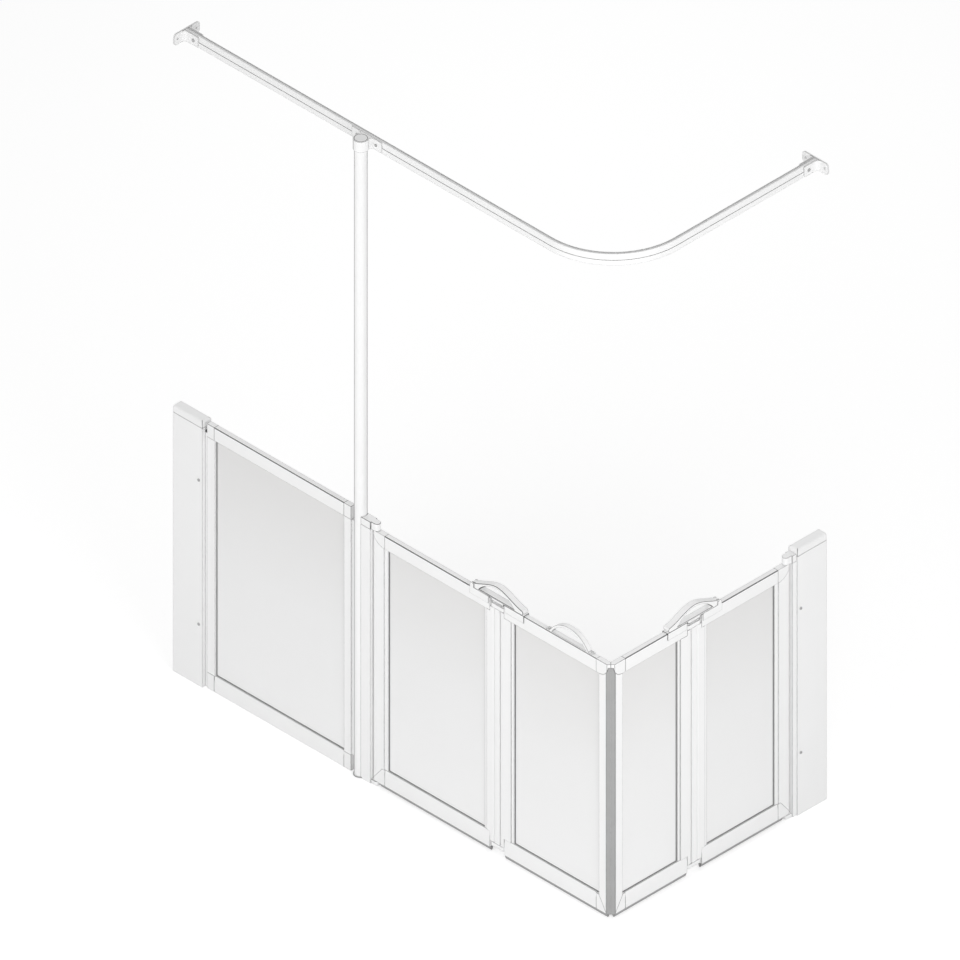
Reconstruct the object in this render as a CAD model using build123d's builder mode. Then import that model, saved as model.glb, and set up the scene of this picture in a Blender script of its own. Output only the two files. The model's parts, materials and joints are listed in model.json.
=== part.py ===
from build123d import *
import os

# Half height shower screen in an L between two walls, with a fixed panel, a pole, two pairs of
# folding leaves and a curtain rail above. Millimetres, +Z up, floor at Z 0.
# Pieces are drawn for the left run, which goes from the left wall along +X to the outer corner.
# A place along a run is its distance from that corner, so the right run is the same thing
# mirrored about the corner, with its own lengths.

os.makedirs("parts", exist_ok=True)

# Lengths of the runs, from each wall to the outer corner
left_run = 1713.4
right_run = 840.0
left_corner_leaf = 429.4      # corner to the near fold pivot
right_corner_leaf = 311.0
fold_pitch = 37.0             # between the two pivots of a fold
left_hinge_post = 51.0        # pole's middle to the hinge post's face
right_hinge_post = 15.0       # wall post to the hinge post's face

# Heights
rail_top = 2167.0
panel_height = 900.0
leaf_drop = 35.0              # fixed panel's top to the leaves'
leaf_foot = 14.0              # underside of the leaves, over the wiper seal
fold_foot_rise = 23.0         # leaves' underside to a spine's
fold_top_drop = 28.0          # leaves' top to a spine's

# Frame sections
frame_depth = 18.0
wall = 1.5                    # wall of a hollow frame section
top_rail = 44.0
bottom_rail = 54.0
bottom_bevel = 17.0           # height of the bevel at the top of a bottom rail
bead_depth = 12.0             # depth of the step beside a pane, and of a bevel's narrow edge
wide_bead = 14.0
narrow_bead = 10.0
hinge_sight = 50.0            # door pivot to the pane's edge
root_fold_sight = 32.0        # fold pivot to the pane's edge, leaf by the post
corner_fold_sight = 46.0      # fold pivot to the pane's edge, leaf at the corner
corner_sight = 46.4           # outer corner to the pane's edge
corner_chamfer = 15.4
corner_seal_edge = 19.0       # outer corner to the metal of the corner stile
mitre_gap = 0.25              # each corner seal stops this far short of the mitre, along its run
rail_plug = 3.0               # closed end of a rail beside a fold
edge_round = 1.5
block_arm = 38.7              # reach of a leaf's corner block along its rail
top_lip = 5.0                 # height of a top block at the leaf's hinge edge
bottom_lip = 5.0              # height of a bottom block at the leaf's outer edge
bottom_shelf = 10.0           # its level part beside the rail
hood = 12.0                   # height of a top block over the corner seal
hood_start = 26.0             # corner stile's edge to where the block's curve starts
panel_block_arm = 28.0        # reach of the fixed panel's square blocks
spigot_length = 18.0

# Glazing
pane_thickness = 4.0
groove = 8.0                  # depth of a pane's groove

# Fits
seat = 0.2                    # between pieces that seat in each other
run_gap = 0.3                 # between pieces that pass each other
pin_gap = 0.05                # around a pin in its bore

# Wall posts
post_width = 115.0
post_depth = 36.0
post_wall = 2.0
post_drop = 18.0              # fixed panel's top to the post's, under its cap
cap_height = 23.0
cap_round = 8.0
channel_reach = 40.0          # legs of the hidden wall channel
channel_foot = 5.0
channel_drop = 12.0           # post's top to the channel's
channel_hole = 3.0            # radius
channel_hole_low = 150.0
channel_hole_spacing = 600.0
cross_web = 45.0              # wall to the web inside a wall post
cap_spigot = 15.0
tongue_depth = 10.0
tongue_reach = 53.0           # how far a tongue enters a wall post
post_screw_inset = 13.0       # from the post's open edge
post_screw_low = 210.0
post_screw_high = 701.0
screw_shank = 2.0             # radius
screw_head = 4.5
screw_head_height = 2.5

# Fixed panel
panel_start = 125.0           # wall to the panel's frame
panel_end = 691.0
panel_wall_sight = 31.0
panel_pole_sight = 27.0

# Pole and its clamp
pole_from_wall = 721.0
pole_radius = 19.0
pole_wall = 2.0
foot_radius = 22.0
foot_height = 4.0
pole_cap_height = 4.0
ring_radius = 22.5
ring_height = 35.0
ear_thickness = 3.0
ear_reach = 58.0
ear_screw = 37.0
clamp_flare = 9.0             # radius of the curve between the ring and its ears

# Curtain rail
rail_width = 15.0
rail_height = 37.5
rail_lower = 17.0             # height of the wider lower part
rail_upper_width = 13.0
rail_crown = 2.5
rail_groove = 7.0             # width of the groove along its top
rail_groove_depth = 2.5
rail_wall = 1.5
glider_slot = 3.6
glider_room = 9.0
glider_lip = 2.0
rail_bend = 245.0
right_rail_inset = 32.0       # outer face of the right run to the rail's middle
flange_width = 101.0
flange_height = 38.0
flange_thickness = 4.0
flange_hole_spacing = 74.0
flange_hole = 3.0
arm_reach = 58.0
arm_height = 35.0
arm_thickness = 3.0
arm_round = 4.0               # corners at the ends of the arms
ear_round = 11.0              # corners of the flange
bracket_flare = 12.0          # radius of the curve between an arm and the flange
cross_screw_reach = 40.0
cross_screw = 2.5
cross_screw_head = 5.0
rail_end_gap = 1.0

# Hinge posts
hinge_post_depth = 28.0
hinge_post_gap = 13.0         # door pivot to the post's face
hinge_cap_rise = 25.0         # leaves' top to the cap's
knuckle_radius = 11.0
door_pin = 4.0                # radius
door_pin_bite = 24.0          # length inside the leaf
door_pin_seat = 12.0          # length inside its bearing

# Folds
link_height = 14.0
link_spigot = 10.0
fold_pin = 3.0
fold_pin_length = 24.0
fold_clear = 9.5              # pivot to the pieces that a link passes
bump_radius = 6.0
bump_height = 3.0
bump_taper = 30               # degrees

# Wiper seals
wiper_width = 10.0
wiper_tip = 4.0
wiper_shoulder = 6.0
wiper_setback = 16.0          # from a pivot

# Long handles over the folds
saddle_end = 107.0            # fold's middle to the far end of a foot or keeper
saddle_near = 32.0            # fold's middle to its near end
saddle_wall = 2.0
saddle_plate = 2.5
saddle_skirt = 22.0
handle_depth = 22.0           # of the band
handle_eye = 7.0              # radius
handle_eye_depth = 14.0       # of the eye between its ears, and of the tab
handle_eye_clear = 9.0        # pivot to the band
handle_eye_reach = 97.0       # fold's middle to the handle's pivot
handle_pin = 2.5
handle_rise = 49.0            # leaves' top to the top of a handle
handle_shoulder_drop = 23.0   # top of a handle to its shoulders
handle_shoulder_reach = 70.0
handle_grip = 8.0
handle_opening = 69.0         # half its length
handle_base = 4.5             # thickness of the bar under its opening
handle_tab = 24.0             # half the length of the tab that drops between the leaves
handle_tab_gap = 3.0          # tab to the bumps below it

# Short handle on the left corner leaf
short_from_corner = 166.0     # its middle
short_half = 92.5
short_depth = 16.0
short_screw_inset = 8.0       # plate's end to its screw
short_arch = 76.0             # half the length of the arch at its feet
short_plate = 4.0             # thickness of the plate under the arch
plate_round = 6.0

# Worked out from the values above
middle = frame_depth / 2
nose = middle
leaf_top = panel_height - leaf_drop
fold_foot = leaf_foot + fold_foot_rise
fold_top = leaf_top - fold_top_drop
post_top = panel_height - post_drop
channel_top = post_top - channel_drop
hinge_cap_top = leaf_top + hinge_cap_rise
bottom_edge = leaf_foot + bottom_rail
top_edge = leaf_top - top_rail
chamber_length = post_width - cross_web - 2 * post_wall
tongue_top = post_top - cap_spigot - post_wall
post_screw_from_wall = post_width - post_screw_inset
screw_places = [(post_screw_from_wall, post_screw_low), (post_screw_from_wall, post_screw_high)]
pole_from_corner = left_run - pole_from_wall
left_pivot = pole_from_corner - left_hinge_post - hinge_post_gap
right_pivot = right_run - post_width - right_hinge_post - hinge_post_gap
left_rail_inset = middle + ring_radius + ear_thickness + rail_width / 2
rail_foot = rail_top - rail_height
rail_middle = rail_top - flange_height / 2
rail_step = (rail_width - rail_upper_width) / 2
saddle_top = leaf_top + saddle_plate
handle_under = saddle_top + run_gap
handle_pivot = handle_under + handle_eye
handle_base_top = handle_under + handle_base
handle_tab_foot = fold_top + link_height + bump_height + handle_tab_gap
handle_peak = leaf_top + handle_rise
handle_shoulder = handle_peak - handle_shoulder_drop
origin_x = (left_run - right_rail_inset + flange_width / 2) / 2
origin_y = (right_run - (ring_radius - middle)) / 2
corner_x = left_run - origin_x
corner_y = -origin_y
rail_room = frame_depth - 2 * wall
across_corner = Plane(origin=(corner_x, corner_y, 0), z_dir=(1, 1, 0))


def level(place, height, sense=1):
    """Level plane at a distance from the corner, x to the corner, or away from it at sense -1."""
    return Plane(origin=(corner_x - place, corner_y + middle, height), x_dir=(sense, 0, 0))


def upright(place, sense=1):
    """Upright plane in the middle of the left run's depth, x as in level, y up."""
    origin = (corner_x - place, corner_y + middle, 0)
    return Plane(origin=origin, x_dir=(sense, 0, 0), z_dir=(0, -sense, 0))


def section(place):
    """Plane square to the left run, x into the shower, y up, normal to the corner."""
    return Plane(origin=(corner_x - place, corner_y + middle, 0), x_dir=(0, 1, 0), z_dir=(1, 0, 0))


def save(piece, name):
    """Write one finished piece."""
    piece.label = name
    export_step(piece, f"parts/{name}.step")


def save_right(piece, name):
    """Write one finished piece of the right run, mirrored about the corner."""
    with BuildPart() as turned:
        mirror(piece, about=across_corner)
    save(turned.part, name)


def save_both(left_piece, right_piece, name):
    """Write one node with the left run's piece and the right run's, mirrored about the corner."""
    with BuildPart() as pair:
        add(left_piece)
        mirror(right_piece, about=across_corner)
    save(pair.part, name)


# Frame pieces, which the leaves and the fixed panel share

def stile(place, sense, sight, bead, foot, top, bore=0):
    """Hollow upright from its outer edge, or from its pivot if it has a round nose with a bore."""
    start = nose + wall if bore else wall
    end = min(sight - bead, sight - groove) - wall
    with BuildPart() as bar:
        with BuildSketch(level(place, foot, sense)):
            Rectangle(sight - bead, frame_depth, align=(Align.MIN, Align.CENTER))
            Rectangle(sight, bead_depth, align=(Align.MIN, Align.CENTER))
            if bore:
                Circle(nose)
                Circle(bore + pin_gap, mode=Mode.SUBTRACT)
            with Locations((start, 0)):
                Rectangle(end - start, frame_depth - 2 * wall,
                          align=(Align.MIN, Align.CENTER), mode=Mode.SUBTRACT)
            with Locations((sight, 0)):
                Rectangle(groove, pane_thickness + 2 * seat,
                          align=(Align.MAX, Align.CENTER), mode=Mode.SUBTRACT)
        extrude(amount=top - foot)
    return bar.part


def rail(far, near, foot, height, groove_up, plug_far=0, plug_near=0):
    """Hollow rail between two distances from the corner, its groove up or down."""
    if groove_up:
        bevel, groove_foot, cavity_foot = bottom_bevel, foot + height - groove, foot + wall
    else:
        bevel, groove_foot, cavity_foot = edge_round, foot, foot + groove + wall
    edge = bead_depth / 2 if groove_up else middle - edge_round
    top = foot + height
    with BuildPart() as bar:
        with BuildSketch(section(far)):
            Polygon((-middle, foot), (middle, foot), (middle, top - bevel), (edge, top),
                    (-edge, top), (-middle, top - bevel), align=None)
            with Locations((0, groove_foot)):
                Rectangle(pane_thickness + 2 * seat, groove,
                          align=(Align.CENTER, Align.MIN), mode=Mode.SUBTRACT)
        extrude(amount=far - near)
        with BuildSketch(section(far - plug_far)):
            with Locations((0, cavity_foot)):
                Rectangle(rail_room, cavity_height(height, groove_up),
                          align=(Align.CENTER, Align.MIN))
        extrude(amount=far - near - plug_far - plug_near, mode=Mode.SUBTRACT)
    return bar.part


def cavity_height(height, groove_up):
    """Height of the hollow in a rail, which stays below a bevel."""
    return height - bottom_bevel - 2 * wall if groove_up else height - groove - 2 * wall


def arched_block(edge):
    """Elevation of a leaf's top block, whose lower edge curves up to the leaf's edge."""
    lip = leaf_top - top_lip
    with BuildSketch() as outline:
        with BuildLine():
            Polyline((-edge, lip), (-edge, leaf_top), (block_arm, leaf_top), (block_arm, top_edge))
            TangentArc((block_arm, top_edge), (-edge, lip), tangent=(-1, 0))
        make_face()
    return outline.sketch


def hooded_block():
    """Elevation of a top block that reaches over the corner seal."""
    lip = leaf_top - hood
    with BuildSketch() as outline:
        with BuildLine():
            Polyline((-corner_seal_edge, lip), (-corner_seal_edge, leaf_top), (block_arm, leaf_top),
                     (block_arm, top_edge), (hood_start, top_edge))
            curve = TangentArc((hood_start, top_edge), (hood_start - top_rail + hood, lip),
                               tangent=(-1, 0))
            Line(curve @ 1, (-corner_seal_edge, lip))
        make_face()
    return outline.sketch


def slanted_block(edge):
    """Elevation of a leaf's bottom block, whose upper edge slants down to the leaf's edge."""
    with BuildSketch() as outline:
        Polygon((-edge, leaf_foot), (block_arm, leaf_foot), (block_arm, bottom_edge),
                (block_arm - bottom_shelf, bottom_edge), (-edge, leaf_foot + bottom_lip), align=None)
    return outline.sketch


def square_block(foot, height):
    """Elevation of a block of the fixed panel."""
    with BuildSketch() as outline:
        with Locations((0, foot)):
            Rectangle(panel_block_arm, height, align=(Align.MIN, Align.MIN))
    return outline.sketch


def corner_block(outline, place, sense, sight, arm, base, end, bore=0):
    """Block at a frame's top, end 1, or foot, -1, with a spigot in its rail and a pin's bore."""
    height = top_rail if end > 0 else bottom_rail
    inner = base - end * height
    room = cavity_height(height, end < 0)
    spigot_foot = base - end * (wall + seat)
    with BuildPart() as block:
        with BuildSketch(upright(place, sense)):
            add(outline)
        extrude(amount=middle, both=True)
        if bore:
            with BuildSketch(level(place, min(base, inner), sense)):
                Circle(nose)
                Rectangle(arm, frame_depth, align=(Align.MIN, Align.CENTER))
            extrude(amount=height, mode=Mode.INTERSECT)
        with BuildSketch(upright(place, sense)):
            with Locations((arm, spigot_foot - end * (room / 2 - seat))):
                Rectangle(spigot_length, room - 2 * seat, align=(Align.MIN, Align.CENTER))
        extrude(amount=rail_room / 2 - seat, both=True)
        if sight - groove < arm:
            with BuildSketch(upright(place, sense)):
                with Locations((sight - groove, inner + end * (groove - height) / 2)):
                    Rectangle(arm, height + groove, align=(Align.MIN, Align.CENTER))
            extrude(amount=pane_thickness / 2 + seat, both=True, mode=Mode.SUBTRACT)
        if bore:
            with BuildSketch(level(place, base, sense)):
                Circle(bore + pin_gap)
            extrude(amount=-end * (door_pin_bite + seat), mode=Mode.SUBTRACT)
    return block.part


def seated_stile(bar, outlines, place, sense, sight, arm, foot, top):
    """Cut a stile back to the elevations of its corner blocks and to its rails."""
    with BuildPart() as cut:
        add(bar)
        with BuildSketch(upright(place, sense)):
            add(outlines)
            with Locations((arm, foot)):
                Rectangle(sight, bottom_rail, align=(Align.MIN, Align.MIN))
            with Locations((arm, top)):
                Rectangle(sight, top_rail, align=(Align.MIN, Align.MAX))
        extrude(amount=frame_depth, both=True, mode=Mode.SUBTRACT)
    return cut.part


def fold_stile(place, sense, sight, bead):
    """Stile with a round nose at a fold pivot, cut back where the rails run over it."""
    foot, top = fold_foot + run_gap, fold_top - run_gap
    with BuildPart() as cut:
        add(stile(place, sense, sight, bead, foot, top, fold_pin))
        with BuildSketch(upright(place, sense)):
            with Locations((fold_clear, top_edge)):
                Rectangle(sight, top_rail, align=(Align.MIN, Align.MIN))
            with Locations((fold_clear, bottom_edge)):
                Rectangle(sight, bottom_rail, align=(Align.MIN, Align.MAX))
        extrude(amount=frame_depth, both=True, mode=Mode.SUBTRACT)
    return cut.part


def pane(far, near, foot, top):
    """Sheet of glazing between the bottoms of its grooves, less a clearance."""
    into = groove - seat
    with BuildPart() as sheet:
        with BuildSketch(upright(far + into)):
            with Locations((0, foot - into)):
                Rectangle(far - near + 2 * into, top - foot + 2 * into, align=(Align.MIN, Align.MIN))
        extrude(amount=pane_thickness / 2, both=True)
    return sheet.part


def wiper(far, near):
    """Seal between a leaf and the floor."""
    with BuildPart() as strip:
        with BuildSketch(section(far)):
            shoulder = leaf_foot - wiper_shoulder
            Polygon((-wiper_tip / 2, 0), (wiper_tip / 2, 0), (wiper_width / 2, shoulder),
                    (wiper_width / 2, leaf_foot), (-wiper_width / 2, leaf_foot),
                    (-wiper_width / 2, shoulder), align=None)
        extrude(amount=far - near)
    return strip.part


# Leaves

def save_root_leaf(keep, name, door_pivot, fold_pivot):
    """Leaf between a hinge post and a fold."""
    upper, lower = arched_block(nose), slanted_block(nose)
    hinge = stile(door_pivot, 1, hinge_sight, wide_bead, leaf_foot, leaf_top, door_pin)
    with BuildPart() as stiles:
        add(seated_stile(hinge, (upper, lower), door_pivot, 1, hinge_sight, block_arm, leaf_foot,
                         leaf_top))
        add(fold_stile(fold_pivot, -1, root_fold_sight, narrow_bead))
    keep(stiles.part, f"{name}_stiles")
    with BuildPart() as blocks:
        for outline, base, end in ((upper, leaf_top, 1), (lower, leaf_foot, -1)):
            add(corner_block(outline, door_pivot, 1, hinge_sight, block_arm, base, end, door_pin))
    keep(blocks.part, f"{name}_corner_blocks")
    far, near = door_pivot - block_arm, fold_pivot + fold_clear
    keep(rail(far, near, top_edge, top_rail, False, 0, rail_plug), f"{name}_top_rail")
    keep(rail(far, near, leaf_foot, bottom_rail, True, 0, rail_plug), f"{name}_bottom_rail")
    glass_far, glass_near = door_pivot - hinge_sight, fold_pivot + root_fold_sight
    keep(pane(glass_far, glass_near, bottom_edge, top_edge), f"{name}_pane")
    keep(wiper(door_pivot - wiper_setback, near), f"{name}_wiper_seal")


def corner_plan(far):
    """Plan of a leaf's end at the corner, chamfered and mitred, from a distance out."""
    tip = (corner_chamfer - mitre_gap) / 2
    with BuildSketch() as plan:
        Polygon((-far, -middle), (-corner_chamfer, -middle), (tip - corner_chamfer, tip - middle),
                (-frame_depth - mitre_gap, middle), (-far, middle), align=None)
    return plan.sketch


def save_corner_leaf(keep, name, fold_pivot, handle_place=None):
    """Leaf between a fold and the outer corner, with its half of the chamfered corner seal."""
    sight = corner_sight - corner_seal_edge
    edge_bar = stile(corner_seal_edge, -1, sight, 0, leaf_foot, leaf_top)
    with BuildPart() as stiles:
        add(seated_stile(edge_bar, (hooded_block(), slanted_block(0)), corner_seal_edge, -1, sight,
                         block_arm, leaf_foot, leaf_top))
        add(fold_stile(fold_pivot, 1, corner_fold_sight, narrow_bead))
    keep(stiles.part, f"{name}_stiles")
    far, near = fold_pivot - fold_clear, corner_seal_edge + block_arm
    with BuildPart() as blocks:
        add(corner_block(hooded_block(), corner_seal_edge, -1, sight, block_arm, leaf_top, 1))
        with BuildSketch(level(0, top_edge)):
            add(corner_plan(near + spigot_length))
        extrude(amount=top_rail, mode=Mode.INTERSECT)
        add(corner_block(slanted_block(0), corner_seal_edge, -1, sight, block_arm, leaf_foot, -1))
    keep(blocks.part, f"{name}_corner_blocks")
    with BuildPart() as upper:
        add(rail(far, near, top_edge, top_rail, False, rail_plug, 0))
        if handle_place:
            with BuildSketch(level(handle_place, leaf_top)):
                with GridLocations(2 * (short_half - short_screw_inset), 1, 2, 1):
                    Circle(screw_shank + seat)
            extrude(amount=-wall, mode=Mode.SUBTRACT)
    keep(upper.part, f"{name}_top_rail")
    keep(rail(far, near, leaf_foot, bottom_rail, True, rail_plug, 0), f"{name}_bottom_rail")
    keep(pane(fold_pivot - corner_fold_sight, corner_sight, bottom_edge, top_edge), f"{name}_pane")
    with BuildPart() as seals:
        add(wiper(far, corner_seal_edge))
        with BuildSketch(level(0, leaf_foot)):
            add(corner_plan(corner_seal_edge))
        extrude(amount=leaf_top - leaf_foot)
        with BuildSketch(upright(corner_seal_edge, -1)):
            add(hooded_block())
        extrude(amount=frame_depth, both=True, mode=Mode.SUBTRACT)
    keep(seals.part, f"{name}_seals")


# Folds

def spine(place):
    """Hollow bar between the two leaves of a pair."""
    across = fold_pitch - 2 * fold_clear
    with BuildPart() as bar:
        with BuildSketch(level(place, fold_foot)):
            RectangleRounded(across, frame_depth, edge_round)
            Rectangle(across - 2 * wall, rail_room, mode=Mode.SUBTRACT)
        extrude(amount=fold_top - fold_foot)
    return bar.part


def fold_links(place):
    """Link over each end of a spine, with its pins, its spigot and its two bumps."""
    across = fold_pitch - 2 * fold_clear - 2 * wall - 2 * seat
    with BuildPart() as links:
        with BuildSketch(level(place, fold_top)):
            SlotCenterToCenter(fold_pitch, 2 * nose)
        extrude(amount=link_height)
        with BuildSketch(level(place, fold_top)):
            Rectangle(across, rail_room - 2 * seat)
        extrude(amount=-link_spigot)
        with BuildSketch(level(place, fold_top)):
            with GridLocations(fold_pitch, 1, 2, 1):
                Circle(fold_pin)
        extrude(amount=-fold_pin_length)
        with BuildSketch(level(place, fold_top + link_height)):
            with GridLocations(fold_pitch, 1, 2, 1):
                Circle(bump_radius)
        extrude(amount=bump_height, taper=bump_taper)
        mirror(about=Plane.XY.offset((fold_foot + fold_top) / 2))
    return links.part


# Handles

def saddle(place, near, far):
    """Cap over a top rail, with a skirt down each face."""
    inner = middle + seat
    with BuildPart() as cap:
        with BuildSketch(section(place - near)):
            with Locations((0, saddle_top)):
                Rectangle(2 * (inner + saddle_wall), saddle_plate + saddle_skirt,
                          align=(Align.CENTER, Align.MAX))
            with Locations((0, leaf_top)):
                Rectangle(2 * inner, saddle_skirt + 1, align=(Align.CENTER, Align.MAX),
                          mode=Mode.SUBTRACT)
        extrude(amount=far - near)
    return cap.part


def handle_foot(place):
    """Saddle on the leaf by the post, with two ears and the pin that the handle turns on."""
    outer = middle + seat + saddle_wall
    with BuildPart() as foot:
        add(saddle(place, -saddle_end, -saddle_near))
        with BuildSketch(upright(place)):
            with Locations((-handle_eye_reach, handle_pivot)):
                Circle(handle_eye)
                Rectangle(2 * handle_eye, handle_pivot - leaf_top, align=(Align.CENTER, Align.MAX))
        extrude(amount=outer, both=True)
        with BuildSketch(upright(place)):
            with Locations((-handle_eye_reach, saddle_top)):
                Rectangle(4 * handle_eye, 4 * handle_eye, align=(Align.CENTER, Align.MIN))
        extrude(amount=handle_eye_depth / 2 + run_gap, both=True, mode=Mode.SUBTRACT)
        with BuildSketch(upright(place)):
            with Locations((-handle_eye_reach, handle_pivot)):
                Circle(handle_pin)
        extrude(amount=outer, both=True)
    return foot.part


def long_handle(place):
    """Arched handle over a fold, with an eye at one end and a tab between the leaves."""
    with BuildPart() as grip:
        with BuildSketch(upright(place)):
            with BuildLine():
                crown = Spline((-handle_eye_reach, handle_pivot + handle_eye),
                               (-handle_shoulder_reach, handle_shoulder), (0, handle_peak),
                               (handle_shoulder_reach, handle_shoulder),
                               (handle_eye_reach, handle_pivot + handle_eye))
                Polyline(crown @ 1, (handle_eye_reach, handle_under),
                         (-handle_eye_reach, handle_under), crown @ 0)
            make_face()
            with GridLocations(2 * handle_eye_reach, 1, 2, 1):
                with Locations((0, handle_pivot)):
                    Circle(handle_eye)
            with Locations((0, handle_tab_foot)):
                Rectangle(2 * handle_tab, handle_base_top - handle_tab_foot,
                          align=(Align.CENTER, Align.MIN))
            with BuildLine():
                arch = ThreePointArc((-handle_opening, handle_base_top),
                                     (0, handle_peak - handle_grip), (handle_opening, handle_base_top))
                Line(arch @ 1, arch @ 0)
            make_face(mode=Mode.SUBTRACT)
            with Locations((-handle_eye_reach, handle_pivot)):
                Circle(handle_pin + pin_gap, mode=Mode.SUBTRACT)
        extrude(amount=handle_depth / 2, both=True)
        for turn in (1, -1):
            with BuildSketch(upright(place).offset(turn * handle_eye_depth / 2)):
                with Locations((handle_eye_clear - handle_eye_reach, handle_pivot)):
                    Rectangle(4 * handle_eye, 4 * handle_eye, align=(Align.MAX, Align.CENTER))
                with Locations((0, handle_under)):
                    Rectangle(3 * handle_tab, handle_under - handle_tab_foot,
                              align=(Align.CENTER, Align.MAX))
            extrude(amount=turn * handle_depth, mode=Mode.SUBTRACT)
    return grip.part


def short_handle(place):
    """Fixed arch on a plate with a screw hole at each end."""
    base = leaf_top + short_plate
    inner_half = short_arch - handle_grip
    with BuildPart() as grip:
        with BuildSketch(upright(place)):
            with BuildLine():
                outer = ThreePointArc((-short_arch, base), (0, handle_peak), (short_arch, base))
                inner = ThreePointArc((-inner_half, base), (0, handle_peak - handle_grip),
                                      (inner_half, base))
                Line(outer @ 0, inner @ 0)
                Line(outer @ 1, inner @ 1)
            make_face()
        extrude(amount=short_depth / 2, both=True)
        with BuildSketch(level(place, leaf_top)):
            RectangleRounded(2 * short_half, short_depth, plate_round)
            with GridLocations(2 * (short_half - short_screw_inset), 1, 2, 1):
                Circle(screw_shank + seat, mode=Mode.SUBTRACT)
        extrude(amount=short_plate)
    return grip.part


def handle_screws(place):
    """Screws through the short handle's plate into the top rail."""
    with BuildPart() as screws:
        with BuildSketch(level(place, leaf_top + short_plate)):
            with GridLocations(2 * (short_half - short_screw_inset), 1, 2, 1):
                Circle(screw_head)
        extrude(amount=screw_head_height)
        with BuildSketch(level(place, leaf_top + short_plate)):
            with GridLocations(2 * (short_half - short_screw_inset), 1, 2, 1):
                Circle(screw_shank)
        extrude(amount=-short_plate - wall)
    return screws.part


# Wall posts and hinge posts

def wall_post(run):
    """Post profile: a channel that faces the wall, a web, and a chamber with a slot for a tongue."""
    room = post_depth - 2 * post_wall
    with BuildPart() as post:
        with BuildSketch(level(run, 0)):
            Rectangle(post_width, post_depth, align=(Align.MIN, Align.CENTER))
            Rectangle(cross_web, room, align=(Align.MIN, Align.CENTER), mode=Mode.SUBTRACT)
            with Locations((cross_web + post_wall, 0)):
                Rectangle(chamber_length, room, align=(Align.MIN, Align.CENTER), mode=Mode.SUBTRACT)
            with Locations((post_width, 0)):
                Rectangle(2 * post_wall, tongue_depth + 2 * seat, mode=Mode.SUBTRACT)
        extrude(amount=post_top)
        with BuildSketch(upright(run)):
            with Locations(*screw_places):
                Circle(screw_shank + seat)
        extrude(amount=post_depth, mode=Mode.SUBTRACT)
    return post.part


def wall_cap(run):
    """Rounded cap with a spigot in the post's chamber."""
    room = post_depth - 2 * post_wall - 2 * seat
    with BuildPart() as cap:
        with BuildSketch(level(run, post_top)):
            Rectangle(post_width, post_depth, align=(Align.MIN, Align.CENTER))
        extrude(amount=cap_height)
        top = cap.faces().sort_by(Axis.Z)[-1]
        wall_edge = top.edges().sort_by(Axis.X)[0]
        fillet([edge for edge in top.edges() if edge != wall_edge], cap_round)
        with BuildSketch(level(run, post_top)):
            with Locations((cross_web + post_wall + seat, 0)):
                Rectangle(chamber_length - 2 * seat, room, align=(Align.MIN, Align.CENTER))
        extrude(amount=-cap_spigot)
    return cap.part


def wall_channel(run):
    """Channel fixed to the wall, which the post slides over."""
    across = post_depth - 2 * post_wall - 2 * seat
    with BuildPart() as channel:
        with BuildSketch(level(run, channel_foot)):
            Rectangle(channel_reach, across, align=(Align.MIN, Align.CENTER))
            with Locations((post_wall, 0)):
                Rectangle(channel_reach, across - 2 * post_wall,
                          align=(Align.MIN, Align.CENTER), mode=Mode.SUBTRACT)
        extrude(amount=channel_top - channel_foot)
        with BuildSketch(section(run)):
            with Locations((0, channel_hole_low), (0, channel_hole_low + channel_hole_spacing)):
                Circle(channel_hole)
        extrude(amount=post_wall, mode=Mode.SUBTRACT)
    return channel.part


def tongue(run, start):
    """Flat tongue of a frame or post that slides into the slot of a wall post."""
    inner = post_width - tongue_reach
    with BuildPart() as tab:
        with BuildSketch(level(run, 0)):
            with Locations((inner, 0)):
                Rectangle(start - inner, tongue_depth, align=(Align.MIN, Align.CENTER))
            with Locations((inner + wall, 0)):
                Rectangle(start - inner - 2 * wall, tongue_depth - 2 * wall,
                          align=(Align.MIN, Align.CENTER), mode=Mode.SUBTRACT)
        extrude(amount=tongue_top)
        with BuildSketch(upright(run)):
            with Locations(*screw_places):
                Circle(screw_shank + seat)
        extrude(amount=post_depth, mode=Mode.SUBTRACT)
    return tab.part


def post_screws(run):
    """Screws through the outer face of a wall post into the tongue."""
    outer = upright(run).offset(post_depth / 2)
    with BuildPart() as screws:
        with BuildSketch(outer):
            with Locations(*screw_places):
                Circle(screw_head)
        extrude(amount=screw_head_height)
        with BuildSketch(outer):
            with Locations(*screw_places):
                Circle(screw_shank)
        extrude(amount=-(post_depth - tongue_depth) / 2 - wall)
    return screws.part


def hinge_bearings(door_pivot, reach):
    """Cap of a hinge post and the bearing at its foot, each with a knuckle bored for a door pin."""
    with BuildPart() as pair:
        with BuildSketch(level(door_pivot, leaf_top + run_gap)):
            Circle(knuckle_radius)
            Rectangle(hinge_post_gap, 2 * knuckle_radius, align=(Align.MAX, Align.CENTER))
            with Locations((-hinge_post_gap, 0)):
                Rectangle(reach, hinge_post_depth, align=(Align.MAX, Align.CENTER))
        extrude(amount=hinge_cap_top - leaf_top - run_gap)
        with BuildSketch(level(door_pivot, 0)):
            Circle(knuckle_radius)
            Rectangle(hinge_post_gap, 2 * knuckle_radius, align=(Align.MAX, Align.CENTER))
        extrude(amount=leaf_foot - run_gap)
        with BuildSketch(level(door_pivot, leaf_top)):
            Circle(door_pin + pin_gap)
        extrude(amount=door_pin_seat + seat, mode=Mode.SUBTRACT)
        with BuildSketch(level(door_pivot, leaf_foot)):
            Circle(door_pin + pin_gap)
        extrude(amount=-door_pin_seat - seat, mode=Mode.SUBTRACT)
    return pair.part


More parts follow.
